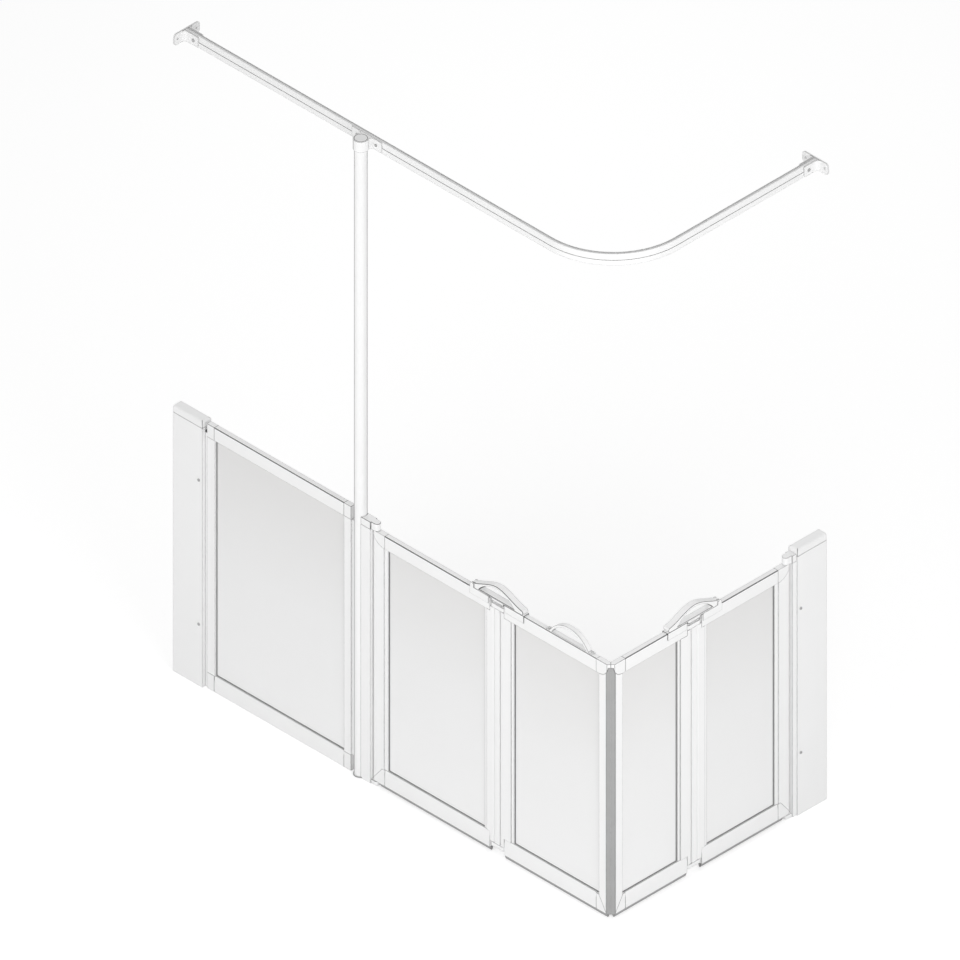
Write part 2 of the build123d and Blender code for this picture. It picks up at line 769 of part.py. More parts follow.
def door_pins(door_pivot):
    """Pins that hold a pair of leaves to its hinge post, at the top and at the foot."""
    with BuildPart() as pins:
        with BuildSketch(level(door_pivot, leaf_top + door_pin_seat)):
            Circle(door_pin)
        extrude(amount=-door_pin_seat - door_pin_bite)
        mirror(about=Plane.XY.offset((leaf_foot + leaf_top) / 2))
    return pins.part


# Curtain rail ends

def bracket(run, inset):
    """Forked bracket: a flange on the wall and an arm on each side of the rail."""
    place = Plane(origin=(corner_x - run, corner_y + inset, rail_middle), x_dir=(0, 1, 0),
                  z_dir=(1, 0, 0))
    side = Plane(origin=place.origin, x_dir=(1, 0, 0), z_dir=(0, -1, 0))
    flat = Plane(origin=place.origin, x_dir=(1, 0, 0))
    gap = rail_width / 2 + seat
    flare_middle = gap + arm_thickness + bracket_flare
    with BuildPart() as fork:
        with BuildSketch(place):
            RectangleRounded(flange_width, flange_height, ear_round)
        extrude(amount=flange_thickness)
        with BuildSketch(flat):
            with Locations((flange_thickness, 0)):
                Rectangle(bracket_flare, 2 * flare_middle, align=(Align.MIN, Align.CENTER))
            with Locations((flange_thickness + bracket_flare, flare_middle),
                           (flange_thickness + bracket_flare, -flare_middle)):
                Circle(bracket_flare, mode=Mode.SUBTRACT)
            Rectangle(arm_reach, 2 * gap, align=(Align.MIN, Align.CENTER), mode=Mode.SUBTRACT)
        extrude(amount=arm_height / 2, both=True)
        with BuildSketch(place):
            with GridLocations(flange_hole_spacing, 1, 2, 1):
                Circle(flange_hole)
        extrude(amount=flange_thickness, mode=Mode.SUBTRACT)
        for turn in (1, -1):
            with BuildSketch(side.offset(turn * gap)) as arm:
                Rectangle(arm_reach, arm_height, align=(Align.MIN, Align.CENTER))
                fillet(arm.vertices().group_by(Axis.X)[-1], arm_round)
                with Locations((cross_screw_reach, 0)):
                    Circle(cross_screw + seat, mode=Mode.SUBTRACT)
            extrude(amount=turn * arm_thickness)
    return fork.part


def cross_screws(run, inset):
    """Screw through a bracket's arms and the rail, with a nut."""
    reach = rail_width / 2 + seat + arm_thickness
    centre = (corner_x - run + cross_screw_reach, corner_y + inset, rail_middle)
    middle_of_screw = Plane(origin=centre, x_dir=(1, 0, 0), z_dir=(0, -1, 0))
    with BuildPart() as screw:
        with BuildSketch(middle_of_screw):
            Circle(cross_screw)
        extrude(amount=reach, both=True)
        with BuildSketch(middle_of_screw.offset(reach)):
            Circle(cross_screw_head)
        extrude(amount=screw_head_height)
        with BuildSketch(middle_of_screw.offset(-reach)):
            RegularPolygon(cross_screw_head, 6)
        extrude(amount=-screw_head_height)
    return screw.part


# What both runs have

runs = (
    (save, "left", left_run, left_corner_leaf, left_pivot, left_rail_inset, "leaf_a", "leaf_b",
     short_from_corner),
    (save_right, "right", right_run, right_corner_leaf, right_pivot, right_rail_inset, "leaf_d",
     "leaf_c", None),
)
for keep, side, run, corner_leaf, door_pivot, inset, root_name, corner_name, handle_place in runs:
    fold_middle = corner_leaf + fold_pitch / 2
    save_root_leaf(keep, root_name, door_pivot, corner_leaf + fold_pitch)
    save_corner_leaf(keep, corner_name, corner_leaf, handle_place)
    keep(spine(fold_middle), f"spine_{side}")
    keep(fold_links(fold_middle), f"fold_links_{side}")
    keep(handle_foot(fold_middle), f"handle_foot_{side}")
    keep(long_handle(fold_middle), f"long_handle_{side}")
    keep(saddle(fold_middle, saddle_near, saddle_end), f"handle_keeper_{side}")
    keep(wall_post(run), f"wall_post_{side}")
    keep(wall_cap(run), f"wall_cap_{side}")
    keep(wall_channel(run), f"wall_channel_{side}")
    keep(bracket(run, inset), f"rail_bracket_{side}")

save(short_handle(short_from_corner), "short_handle")
save(handle_screws(short_from_corner), "short_handle_screws")

# Hinge post by the pole, hollowed to its curve, and the plain one on the right wall post
save_both(post_screws(left_run), post_screws(right_run), "post_screws")
save_both(door_pins(left_pivot), door_pins(right_pivot), "door_pins")
pole_fit = pole_radius + seat

with BuildPart() as hinge_post_left:
    with BuildSketch(level(left_pivot + hinge_post_gap, 0)):
        Rectangle(left_hinge_post, hinge_post_depth, align=(Align.MAX, Align.CENTER))
        with Locations((-post_wall, 0)):
            Rectangle(left_hinge_post - pole_fit - 2 * post_wall, hinge_post_depth - 2 * post_wall,
                      align=(Align.MAX, Align.CENTER), mode=Mode.SUBTRACT)
        with Locations((-left_hinge_post, 0)):
            Circle(pole_fit, mode=Mode.SUBTRACT)
    extrude(amount=leaf_top + run_gap)
    with BuildSketch(level(pole_from_corner, 0)):
        Circle(foot_radius + seat)
    extrude(amount=foot_height + seat, mode=Mode.SUBTRACT)
save(hinge_post_left.part, "hinge_post_left")

with BuildPart() as hinge_bearings_left:
    add(hinge_bearings(left_pivot, left_hinge_post))
    with BuildSketch(level(pole_from_corner, 0)):
        Circle(pole_fit)
    extrude(amount=hinge_cap_top, mode=Mode.SUBTRACT)
save(hinge_bearings_left.part, "hinge_bearings_left")

with BuildPart() as hinge_post_right:
    with BuildSketch(level(right_pivot + hinge_post_gap, 0)):
        Rectangle(right_hinge_post, hinge_post_depth, align=(Align.MAX, Align.CENTER))
        with Locations((-post_wall, 0)):
            Rectangle(right_hinge_post - 2 * post_wall, hinge_post_depth - 2 * post_wall,
                      align=(Align.MAX, Align.CENTER), mode=Mode.SUBTRACT)
    extrude(amount=leaf_top + run_gap)
    add(tongue(right_run, post_width))
save_right(hinge_post_right.part, "hinge_post_right")
save_right(hinge_bearings(right_pivot, right_hinge_post), "hinge_bearings_right")

# Fixed panel
wall_side = left_run - panel_start
pole_side = left_run - panel_end
panel_blocks = (square_block(panel_height - top_rail, top_rail), square_block(0, bottom_rail))

with BuildPart() as panel_stiles:
    wall_bar = stile(wall_side, 1, panel_wall_sight, 0, 0, panel_height)
    add(seated_stile(wall_bar, panel_blocks, wall_side, 1, panel_wall_sight, panel_block_arm, 0,
                     panel_height))
    add(tongue(left_run, panel_start))
    pole_bar = stile(pole_side, -1, panel_pole_sight, 0, 0, panel_height)
    add(seated_stile(pole_bar, panel_blocks, pole_side, -1, panel_pole_sight, panel_block_arm, 0,
                     panel_height))
    with BuildSketch(level(pole_side, bottom_rail)):
        Rectangle(pole_side - pole_from_corner, tongue_depth, align=(Align.MIN, Align.CENTER))
        with Locations((pole_side - pole_from_corner, 0)):
            Circle(pole_fit, mode=Mode.SUBTRACT)
    extrude(amount=panel_height - top_rail - bottom_rail)
save(panel_stiles.part, "panel_stiles")

with BuildPart() as panel_corner_blocks:
    for place, sense, sight in ((wall_side, 1, panel_wall_sight), (pole_side, -1, panel_pole_sight)):
        for outline, base, end in zip(panel_blocks, (panel_height, 0), (1, -1)):
            add(corner_block(outline, place, sense, sight, panel_block_arm, base, end))
save(panel_corner_blocks.part, "panel_corner_blocks")

with BuildPart() as panel_rails:
    far, near = wall_side - panel_block_arm, pole_side + panel_block_arm
    add(rail(far, near, panel_height - top_rail, top_rail, False))
    add(rail(far, near, 0, bottom_rail, True))
save(panel_rails.part, "panel_rails")
save(pane(wall_side - panel_wall_sight, pole_side + panel_pole_sight, bottom_rail,
          panel_height - top_rail), "panel_pane")

# Pole
with BuildPart() as pole:
    with BuildSketch(level(pole_from_corner, foot_height)):
        Circle(pole_radius)
        Circle(pole_radius - pole_wall, mode=Mode.SUBTRACT)
    extrude(amount=rail_top - pole_cap_height - foot_height)
save(pole.part, "pole")

plug_radius = pole_radius - pole_wall - seat
with BuildPart() as pole_foot:
    with BuildSketch(level(pole_from_corner, 0)):
        Circle(foot_radius)
    extrude(amount=foot_height)
    with BuildSketch(level(pole_from_corner, foot_height)):
        Circle(plug_radius)
    extrude(amount=cap_spigot)
save(pole_foot.part, "pole_foot")

with BuildPart() as pole_cap:
    with BuildSketch(level(pole_from_corner, rail_top)):
        Circle(pole_radius)
    extrude(amount=-pole_cap_height)
    with BuildSketch(level(pole_from_corner, rail_top - pole_cap_height)):
        Circle(plug_radius)
    extrude(amount=-cap_spigot)
save(pole_cap.part, "pole_cap")

flare_end = 2 * (ring_radius * clamp_flare) ** 0.5
touch = ring_radius / (ring_radius + clamp_flare)
flare_low = (ring_radius - clamp_flare) * touch
ear_front = upright(pole_from_corner).offset(-ring_radius)
ear_screws = [(-ear_screw, rail_top - ring_height / 2), (ear_screw, rail_top - ring_height / 2)]
with BuildPart() as pole_clamp:
    with BuildSketch(level(pole_from_corner, rail_top - ring_height)):
        Circle(ring_radius)
        Polygon((-flare_end, ring_radius), (flare_end, ring_radius), (flare_end * touch, flare_low),
                (-flare_end * touch, flare_low), align=None)
        with Locations((-flare_end, ring_radius - clamp_flare),
                       (flare_end, ring_radius - clamp_flare)):
            Circle(clamp_flare, mode=Mode.SUBTRACT)
        with Locations((0, ring_radius)):
            Rectangle(2 * ear_reach, ear_thickness, align=(Align.CENTER, Align.MIN))
        Circle(pole_fit, mode=Mode.SUBTRACT)
    extrude(amount=ring_height)
    with BuildSketch(ear_front):
        with Locations(*ear_screws):
            Circle(screw_shank + seat)
    extrude(amount=-ear_thickness, mode=Mode.SUBTRACT)
save(pole_clamp.part, "pole_clamp")

# Curtain rail, with holes for the bracket and clamp screws
rail_start = left_run - flange_thickness - rail_end_gap
rail_finish = right_run - flange_thickness - rail_end_gap
with BuildPart() as curtain_rail:
    with BuildLine(level(0, rail_foot)):
        FilletPolyline((-rail_start, left_rail_inset - middle),
                       (-right_rail_inset, left_rail_inset - middle),
                       (-right_rail_inset, rail_finish - middle), radius=rail_bend)
    start = (corner_x - rail_start, corner_y + left_rail_inset, rail_foot)
    with BuildSketch(Plane(origin=start, x_dir=(0, 1, 0), z_dir=(1, 0, 0))):
        Rectangle(rail_width, rail_lower, align=(Align.CENTER, Align.MIN))
        with BuildLine():
            half = rail_upper_width / 2
            FilletPolyline((-half, rail_lower), (-half, rail_height), (half, rail_height),
                           (half, rail_lower), radius=rail_crown)
            Line((half, rail_lower), (-half, rail_lower))
        make_face()
        with Locations((0, rail_height)):
            Rectangle(rail_groove, rail_groove_depth, align=(Align.CENTER, Align.MAX),
                      mode=Mode.SUBTRACT)
        Rectangle(glider_slot, glider_lip, align=(Align.CENTER, Align.MIN), mode=Mode.SUBTRACT)
        with Locations((0, glider_lip)):
            Rectangle(rail_width - 2 * rail_wall, glider_room, align=(Align.CENTER, Align.MIN),
                      mode=Mode.SUBTRACT)
        with Locations((0, rail_lower)):
            Rectangle(rail_upper_width - 2 * rail_wall,
                      rail_height - rail_lower - rail_groove_depth - rail_wall,
                      align=(Align.CENTER, Align.MIN), mode=Mode.SUBTRACT)
    sweep()
    with BuildSketch(upright(left_run - cross_screw_reach)):
        with Locations((0, rail_middle)):
            Circle(cross_screw + seat)
    extrude(amount=-rail_bend, mode=Mode.SUBTRACT)
    with BuildSketch(section(right_rail_inset)):
        with Locations((right_run - cross_screw_reach - middle, rail_middle)):
            Circle(cross_screw + seat)
    extrude(amount=rail_width, both=True, mode=Mode.SUBTRACT)
    with BuildSketch(ear_front.offset(-ear_thickness)):
        with Locations(*ear_screws):
            Circle(screw_shank + seat)
    extrude(amount=-rail_width / 2, mode=Mode.SUBTRACT)
save(curtain_rail.part, "curtain_rail")

with BuildPart() as rail_screws:
    add(cross_screws(left_run, left_rail_inset))
    mirror(cross_screws(right_run, right_rail_inset), about=across_corner)
    with BuildSketch(ear_front):
        with Locations(*ear_screws):
            Circle(screw_head)
    extrude(amount=screw_head_height)
    with BuildSketch(ear_front):
        with Locations(*ear_screws):
            Circle(screw_shank)
    extrude(amount=-ear_thickness - rail_step - rail_wall)
save(rail_screws.part, "rail_screws")
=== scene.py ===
"""Half height shower screen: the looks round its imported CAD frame.

The screen is an L: a fixed panel, a pole and two leaves on the left run, and two leaves on the
right run, under a curtain rail. A place on a run is its distance from the outer corner, its
depth in from the outer face and its height. Every length is in metres.
"""
import json
import logging
import math
from collections.abc import Callable
from dataclasses import dataclass, field
from enum import Enum

import bpy
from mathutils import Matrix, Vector

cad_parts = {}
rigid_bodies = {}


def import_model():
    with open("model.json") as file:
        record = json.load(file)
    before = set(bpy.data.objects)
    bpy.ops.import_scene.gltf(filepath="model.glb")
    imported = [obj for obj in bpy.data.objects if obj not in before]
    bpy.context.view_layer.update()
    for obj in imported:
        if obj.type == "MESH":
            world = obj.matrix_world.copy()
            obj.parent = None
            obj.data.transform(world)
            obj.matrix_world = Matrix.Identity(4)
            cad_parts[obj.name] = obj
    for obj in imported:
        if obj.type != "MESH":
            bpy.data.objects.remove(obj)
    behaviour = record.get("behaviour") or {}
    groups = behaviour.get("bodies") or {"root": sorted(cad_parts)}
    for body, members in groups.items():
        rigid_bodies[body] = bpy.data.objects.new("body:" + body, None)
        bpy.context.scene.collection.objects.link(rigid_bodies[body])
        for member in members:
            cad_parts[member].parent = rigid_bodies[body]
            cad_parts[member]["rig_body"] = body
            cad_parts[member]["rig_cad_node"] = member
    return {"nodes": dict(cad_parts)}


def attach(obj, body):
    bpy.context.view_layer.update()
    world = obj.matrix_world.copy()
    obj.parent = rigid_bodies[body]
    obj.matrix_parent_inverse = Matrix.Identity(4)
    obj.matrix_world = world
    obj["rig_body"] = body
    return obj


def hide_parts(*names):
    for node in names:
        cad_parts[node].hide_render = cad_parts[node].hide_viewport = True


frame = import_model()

log = logging.getLogger("shower_screen")
Colour = tuple[float, float, float, float]
Place = tuple[float, float, float]

MERGE = 1e-6
FLAT_ANGLE = math.radians(1.5)
SHARP_ANGLE = math.radians(28)
# Face attribute that marks where painted shade goes along a piece's edges.
EDGE_SHADE_MASK = "edge_line"

CORNER_X, CORNER_Y = 0.84745, -0.41325
FRAME_DEPTH = 0.018
PANE_THICKNESS = 0.004


class Run(Enum):
    """The two sides of the L, each named for its wall."""

    LEFT = "left"
    RIGHT = "right"

    def point(self, along: float, depth: float, height: float) -> Vector:
        """Give a place on this run in the screen's own frame.

        Args:
            along: Distance from the outer corner.
            depth: Distance in from the outer face.
            height: Height over the floor.

        Returns:
            The point.
        """
        if self is Run.LEFT:
            return Vector((CORNER_X - along, CORNER_Y + depth, height))
        return Vector((CORNER_X - depth, CORNER_Y + along, height))

    def spread(self, along: float, depth: float, height: float) -> Vector:
        """Give a box's three sides in the screen's own frame.

        Args:
            along: Length along the run.
            depth: Thickness through the run.
            height: Height.

        Returns:
            The sides as x, y and z.
        """
        return Vector((along, depth, height) if self is Run.LEFT else (depth, along, height))

    @property
    def inward(self) -> Vector:
        """Direction from the outer face into the shower."""
        return Vector((0, 1, 0)) if self is Run.LEFT else Vector((-1, 0, 0))


class Slot(Enum):
    """The record's material slots."""

    WHITE_FRAME = "white_frame"
    WHITE_PLASTIC = "white_plastic"
    GLAZING = "glazing"
    GREY_SEAL = "grey_seal"
    STEEL = "steel"
    CHANNEL_METAL = "channel_metal"


def grey(value: float, warmth: float = 0.0) -> Colour:
    """Give a grey as a linear colour, warmer above 0 and cooler below it."""
    return (value * (1 + warmth), value, value * (1 - warmth), 1.0)


class Effects:
    """Shader node groups that several finishes share, and the step that places one."""

    grain_detail = 2.0
    sheen_scale = 14.0
    sheen_detail = 3.0
    mottle_detail = 4.0
    # Reach and thresholds of the painted shade along edges.
    shade_reach = 0.0022
    shade_samples = 6
    shade_start = 0.97
    shade_full = 0.86

    @staticmethod
    def _new(name: str, inputs: dict[str, str], outputs: dict[str, str]) -> bpy.types.NodeTree:
        """Start a group with named sockets.

        Args:
            name: The group's name.
            inputs: Socket type for each input's name.
            outputs: Socket type for each output's name.

        Returns:
            The group's node tree, with its input and output nodes.
        """
        tree = bpy.data.node_groups.new(name, "ShaderNodeTree")
        for direction, sockets in (("INPUT", inputs), ("OUTPUT", outputs)):
            for label, kind in sockets.items():
                tree.interface.new_socket(label, in_out=direction, socket_type=kind)
        tree.nodes.new("NodeGroupInput").name = "In"
        tree.nodes.new("NodeGroupOutput").name = "Out"
        return tree

    @classmethod
    def grain(cls) -> bpy.types.NodeTree:
        """Give the group that makes the fine pebbling of paint or moulded plastic.

        Returns:
            The group, made once: a fine Height and a broad Sheen.
        """
        found = bpy.data.node_groups.get("surface_grain")
        if found:
            return found
        tree = cls._new("surface_grain",
                        {"Vector": "NodeSocketVector", "Scale": "NodeSocketFloat"},
                        {"Height": "NodeSocketFloat", "Sheen": "NodeSocketFloat"})
        into, out = tree.nodes["In"], tree.nodes["Out"]
        fine = tree.nodes.new("ShaderNodeTexNoise")
        fine.inputs["Detail"].default_value = cls.grain_detail
        broad = tree.nodes.new("ShaderNodeTexNoise")
        broad.inputs["Scale"].default_value = cls.sheen_scale
        broad.inputs["Detail"].default_value = cls.sheen_detail
        tree.links.new(into.outputs["Vector"], fine.inputs["Vector"])
        tree.links.new(into.outputs["Scale"], fine.inputs["Scale"])
        tree.links.new(into.outputs["Vector"], broad.inputs["Vector"])
        tree.links.new(fine.outputs["Fac"], out.inputs["Height"])
        tree.links.new(broad.outputs["Fac"], out.inputs["Sheen"])
        return tree

    @classmethod
    def edge_line(cls) -> bpy.types.NodeTree:
        """Give the group that paints a thin band of shade along a piece's edges.

        The painted shade is where the face attribute says so, and where the normal rounded over
        shade_reach leaves the true one: it starts at shade_start as their dot product and is full
        at shade_full.

        Returns:
            The group, made once: the Colour with the painted shade over it.
        """
        found = bpy.data.node_groups.get("edge_shade")
        if found:
            return found
        tree = cls._new("edge_shade",
                        {"Colour": "NodeSocketColor", "Line": "NodeSocketColor",
                         "Strength": "NodeSocketFloat"},
                        {"Colour": "NodeSocketColor"})
        into, out = tree.nodes["In"], tree.nodes["Out"]
        # Painted shade: marked faces and sharp edges get the dark colour.
        shade_mask = tree.nodes.new("ShaderNodeAttribute")
        shade_mask.attribute_name = EDGE_SHADE_MASK
        surface = tree.nodes.new("ShaderNodeNewGeometry")
        rounded = tree.nodes.new("ShaderNodeBevel")
        rounded.samples = cls.shade_samples
        rounded.inputs["Radius"].default_value = cls.shade_reach
        turn = tree.nodes.new("ShaderNodeVectorMath")
        turn.operation = "DOT_PRODUCT"
        sharp = tree.nodes.new("ShaderNodeMapRange")
        sharp.inputs["From Min"].default_value = cls.shade_start
        sharp.inputs["From Max"].default_value = cls.shade_full
        either = tree.nodes.new("ShaderNodeMath")
        either.operation = "MAXIMUM"
        tree.links.new(surface.outputs["Normal"], turn.inputs[0])
        tree.links.new(rounded.outputs["Normal"], turn.inputs[1])
        tree.links.new(turn.outputs["Value"], sharp.inputs["Value"])
        tree.links.new(shade_mask.outputs["Fac"], either.inputs[0])
        tree.links.new(sharp.outputs["Result"], either.inputs[1])
        share = tree.nodes.new("ShaderNodeMath")
        share.operation = "MULTIPLY"
        mix = tree.nodes.new("ShaderNodeMix")
        mix.data_type = "RGBA"
        tree.links.new(either.outputs[0], share.inputs[0])
        tree.links.new(into.outputs["Strength"], share.inputs[1])
        tree.links.new(share.outputs[0], mix.inputs["Factor"])
        tree.links.new(into.outputs["Colour"], mix.inputs["A"])
        tree.links.new(into.outputs["Line"], mix.inputs["B"])
        tree.links.new(mix.outputs["Result"], out.inputs["Colour"])
        return tree

    @classmethod
    def two_tone(cls) -> bpy.types.NodeTree:
        """Give the group that drifts softly between two shades, as sheet stock and paint do.

        Returns:
            The group, made once: a Colour between Light and Dark.
        """
        found = bpy.data.node_groups.get("soft_mottle")
        if found:
            return found
        tree = cls._new("soft_mottle",
                        {"Vector": "NodeSocketVector", "Scale": "NodeSocketFloat",
                         "Light": "NodeSocketColor", "Dark": "NodeSocketColor"},
                        {"Colour": "NodeSocketColor"})
        into, out = tree.nodes["In"], tree.nodes["Out"]
        noise = tree.nodes.new("ShaderNodeTexNoise")
        noise.inputs["Detail"].default_value = cls.mottle_detail
        mix = tree.nodes.new("ShaderNodeMix")
        mix.data_type = "RGBA"
        tree.links.new(into.outputs["Vector"], noise.inputs["Vector"])
        tree.links.new(into.outputs["Scale"], noise.inputs["Scale"])
        tree.links.new(noise.outputs["Fac"], mix.inputs["Factor"])
        tree.links.new(into.outputs["Light"], mix.inputs["A"])
        tree.links.new(into.outputs["Dark"], mix.inputs["B"])
        tree.links.new(mix.outputs["Result"], out.inputs["Colour"])
        return tree

    @staticmethod
    def place(nodes: bpy.types.Nodes, tree: bpy.types.NodeTree, **values: Colour | float
              ) -> bpy.types.Node:
        """Place a group in a material with the material's own values.

        Args:
            nodes: The material's nodes.
            tree: The group to place.
            values: A value for each input that isn't linked.

        Returns:
            The group's node.
        """
        node = nodes.new("ShaderNodeGroup")
        node.node_tree = tree
        for label, value in values.items():
            node.inputs[label].default_value = value
        return node


@dataclass(frozen=True)
class Texture:
    """Fine grain of a surface, with its range of roughness and its relief."""

    scale: float = 900.0
    smoothest: float = 0.3
    roughest: float = 0.4
    relief: float = 0.05
    relief_depth: float = 0.0002

    def apply(self, nodes: bpy.types.Nodes, links: bpy.types.NodeLinks,
              surface: bpy.types.NodeSocket) -> None:
        """Give a material's shader this grain.

        Args:
            nodes: The material's nodes.
            links: The material's links.
            surface: The socket that gives the place on the surface.
        """
        shader = nodes["Principled BSDF"]
        grain = Effects.place(nodes, Effects.grain(), Scale=self.scale)
        links.new(surface, grain.inputs["Vector"])
        rough = nodes.new("ShaderNodeMapRange")
        rough.inputs["To Min"].default_value = self.smoothest
        rough.inputs["To Max"].default_value = self.roughest
        links.new(grain.outputs["Sheen"], rough.inputs["Value"])
        links.new(rough.outputs["Result"], shader.inputs["Roughness"])
        bump = nodes.new("ShaderNodeBump")
        bump.inputs["Strength"].default_value = self.relief
        bump.inputs["Distance"].default_value = self.relief_depth
        links.new(grain.outputs["Height"], bump.inputs["Height"])
        links.new(bump.outputs["Normal"], shader.inputs["Normal"])


@dataclass(frozen=True)
class Finish:
    """What every finish has: a name, a slot in the record and a material made once."""

    name: str
    slot: Slot

    def material(self) -> bpy.types.Material:
        """Give this finish's material, made the first time it is asked for.

        Returns:
            The material.
        """
        found = bpy.data.materials.get(self.name)
        if found:
            return found
        made = bpy.data.materials.new(self.name)
        made.use_nodes = True
        self.dress(made.node_tree.nodes, made.node_tree.links)
        return made

    def dress(self, nodes: bpy.types.Nodes, links: bpy.types.NodeLinks) -> None:
        """Build the nodes round the material's shader.

        Args:
            nodes: The material's nodes.
            links: The material's links.
        """
        raise NotImplementedError


@dataclass(frozen=True)
class Coating(Finish):
    """Finish of an opaque piece: two close tones, painted shade along its edges and a fine grain.
    """

    light: Colour
    dark: Colour
    # Colour and strength of the painted shade along the piece's edges.
    shade_colour: Colour
    edge_shade_strength: float = 1.0
    mottle_scale: float = 9.0
    texture: Texture = Texture()
    stretch: Place = (1.0, 1.0, 1.0)
    metallic: float = 0.0
    # Strength of the painted shade round a round piece's rim, where it turns from the camera.
    rim: float = 0.0
    rim_shade_start: float = 0.55
    rim_shade_full: float = 0.80

    def dress(self, nodes: bpy.types.Nodes, links: bpy.types.NodeLinks) -> None:
        """Build the coating on Object coordinates.

        Args:
            nodes: The material's nodes.
            links: The material's links.
        """
        shader = nodes["Principled BSDF"]
        shader.inputs["Metallic"].default_value = self.metallic
        place = nodes.new("ShaderNodeTexCoord")
        stretch = nodes.new("ShaderNodeMapping")
        stretch.inputs["Scale"].default_value = self.stretch
        links.new(place.outputs["Object"], stretch.inputs["Vector"])
        surface = stretch.outputs["Vector"]
        tone = Effects.place(nodes, Effects.two_tone(), Scale=self.mottle_scale,
                             Light=self.light, Dark=self.dark)
        # Painted shade: a dark band along every edge of the piece.
        edge_shaded = Effects.place(nodes, Effects.edge_line(), Line=self.shade_colour,
                              Strength=self.edge_shade_strength)
        links.new(surface, tone.inputs["Vector"])
        links.new(tone.outputs["Colour"], edge_shaded.inputs["Colour"])
        links.new(edge_shaded.outputs["Colour"], shader.inputs["Base Color"])
        # Painted shade round the rim, where the surface turns from the camera.
        if self.rim:
            self._paint_rim_shade(nodes, links, edge_shaded)
        self.texture.apply(nodes, links, surface)

    def _paint_rim_shade(self, nodes: bpy.types.Nodes, links: bpy.types.NodeLinks,
                    tone: bpy.types.Node) -> None:
        """Paint shade on a round piece where its surface turns away from the camera, as its
        outline.

        Args:
            nodes: The material's nodes.
            links: The material's links.
            tone: The node that gives the colour so far.
        """
        turned = nodes.new("ShaderNodeLayerWeight")
        band = nodes.new("ShaderNodeMapRange")
        band.inputs["From Min"].default_value = self.rim_shade_start
        band.inputs["From Max"].default_value = self.rim_shade_full
        band.inputs["To Max"].default_value = self.rim
        mix = nodes.new("ShaderNodeMix")
        mix.data_type = "RGBA"
        mix.inputs["B"].default_value = self.shade_colour
        links.new(turned.outputs["Facing"], band.inputs["Value"])
        links.new(band.outputs["Result"], mix.inputs["Factor"])
        links.new(tone.outputs["Colour"], mix.inputs["A"])
        links.new(mix.outputs["Result"], nodes["Principled BSDF"].inputs["Base Color"])


@dataclass(frozen=True)
class Glazing(Finish):
    """Pane finish: a pale sheet, with painted shade that greys it from clear white at its foot to
    light grey at its top.
    """

    name: str = "obscured_pane"
    slot: Slot = Slot.GLAZING
    # Heights and colours of the painted shade that greys the pane towards its top.
    foot_height: float = 0.12
    top_height: float = 0.84
    foot: Colour = grey(0.96)
    middle: Colour = grey(0.91)
    top: Colour = grey(0.81, 0.006)
    drift: float = 0.06
    drift_scale: float = 2.2
    drift_detail: float = 1.0
    # Colour and strength of the painted shade along the pane's edges.
    shade_colour: Colour = grey(0.40)
    edge_shade_strength: float = 0.5
    texture: Texture = Texture(scale=240.0, smoothest=0.16, roughest=0.24, relief_depth=0.0003)
    transmission: float = 0.08
    refraction: float = 1.49

    def dress(self, nodes: bpy.types.Nodes, links: bpy.types.NodeLinks) -> None:
        """Build the pane, with painted shade by height on Object coordinates and a slow drift.

        Args:
            nodes: The material's nodes.
            links: The material's links.
        """
        shader = nodes["Principled BSDF"]
        shader.inputs["Transmission Weight"].default_value = self.transmission
        shader.inputs["IOR"].default_value = self.refraction
        surface = nodes.new("ShaderNodeTexCoord").outputs["Object"]
        parts = nodes.new("ShaderNodeSeparateXYZ")
        links.new(surface, parts.inputs["Vector"])
        # Painted shade: the colour greys with height from foot to top.
        height = nodes.new("ShaderNodeMapRange")
        height.inputs["From Min"].default_value = self.foot_height
        height.inputs["From Max"].default_value = self.top_height
        links.new(parts.outputs["Z"], height.inputs["Value"])
        cloud = nodes.new("ShaderNodeTexNoise")
        cloud.inputs["Scale"].default_value = self.drift_scale
        cloud.inputs["Detail"].default_value = self.drift_detail
        links.new(surface, cloud.inputs["Vector"])
        sway = nodes.new("ShaderNodeMath")
        sway.operation = "MULTIPLY_ADD"
        sway.inputs[1].default_value = self.drift
        links.new(cloud.outputs["Fac"], sway.inputs[0])
        links.new(height.outputs["Result"], sway.inputs[2])
        ramp = nodes.new("ShaderNodeValToRGB")
        ramp.color_ramp.elements[0].color = self.foot
        ramp.color_ramp.elements[1].color = self.top
        ramp.color_ramp.elements.new(0.5).color = self.middle
        links.new(sway.outputs[0], ramp.inputs["Fac"])
        edge_shaded = Effects.place(nodes, Effects.edge_line(), Line=self.shade_colour,
                              Strength=self.edge_shade_strength)
        links.new(ramp.outputs["Color"], edge_shaded.inputs["Colour"])
        links.new(edge_shaded.outputs["Colour"], shader.inputs["Base Color"])
        self.texture.apply(nodes, links, surface)


# Each coating's third colour is its painted shade along edges.
WHITE_COAT = Coating("white_powder_coat", Slot.WHITE_FRAME, grey(0.92), grey(0.89), grey(0.10))
